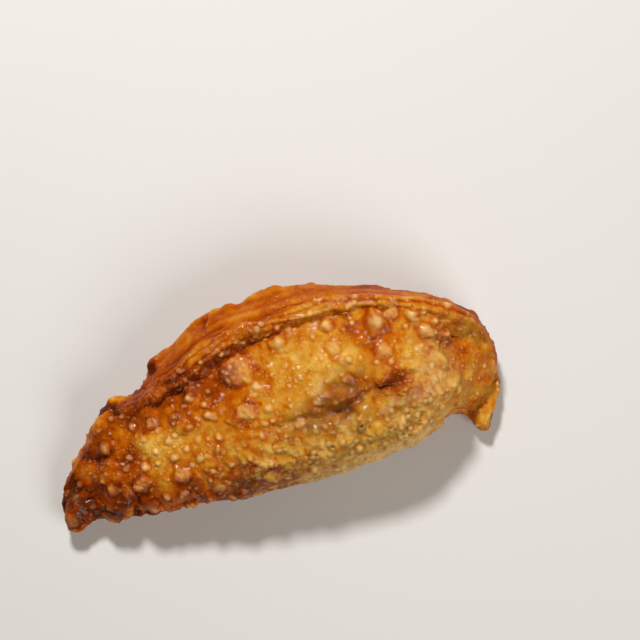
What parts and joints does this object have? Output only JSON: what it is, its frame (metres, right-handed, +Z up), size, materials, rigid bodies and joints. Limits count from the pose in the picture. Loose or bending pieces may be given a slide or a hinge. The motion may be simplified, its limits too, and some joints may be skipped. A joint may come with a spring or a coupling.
{
  "type": "empanada",
  "caption": "Deep-fried half-moon turnover of blistered dough, filled with pepperoni and cheese and sealed along a curled seam.",
  "frame": {"origin": "under the middle of the bounding box, on the surface the turnover rests on", "axes": "+X from the left corner to the right corner as pictured, +Y from the fold to the seam, +Z up"},
  "size_m": [0.1542, 0.086, 0.039],
  "materials": {
    "crust": "satin"
  },
  "bodies": {
    "root": {"empanada": "crust"}
  },
  "joints": []
}
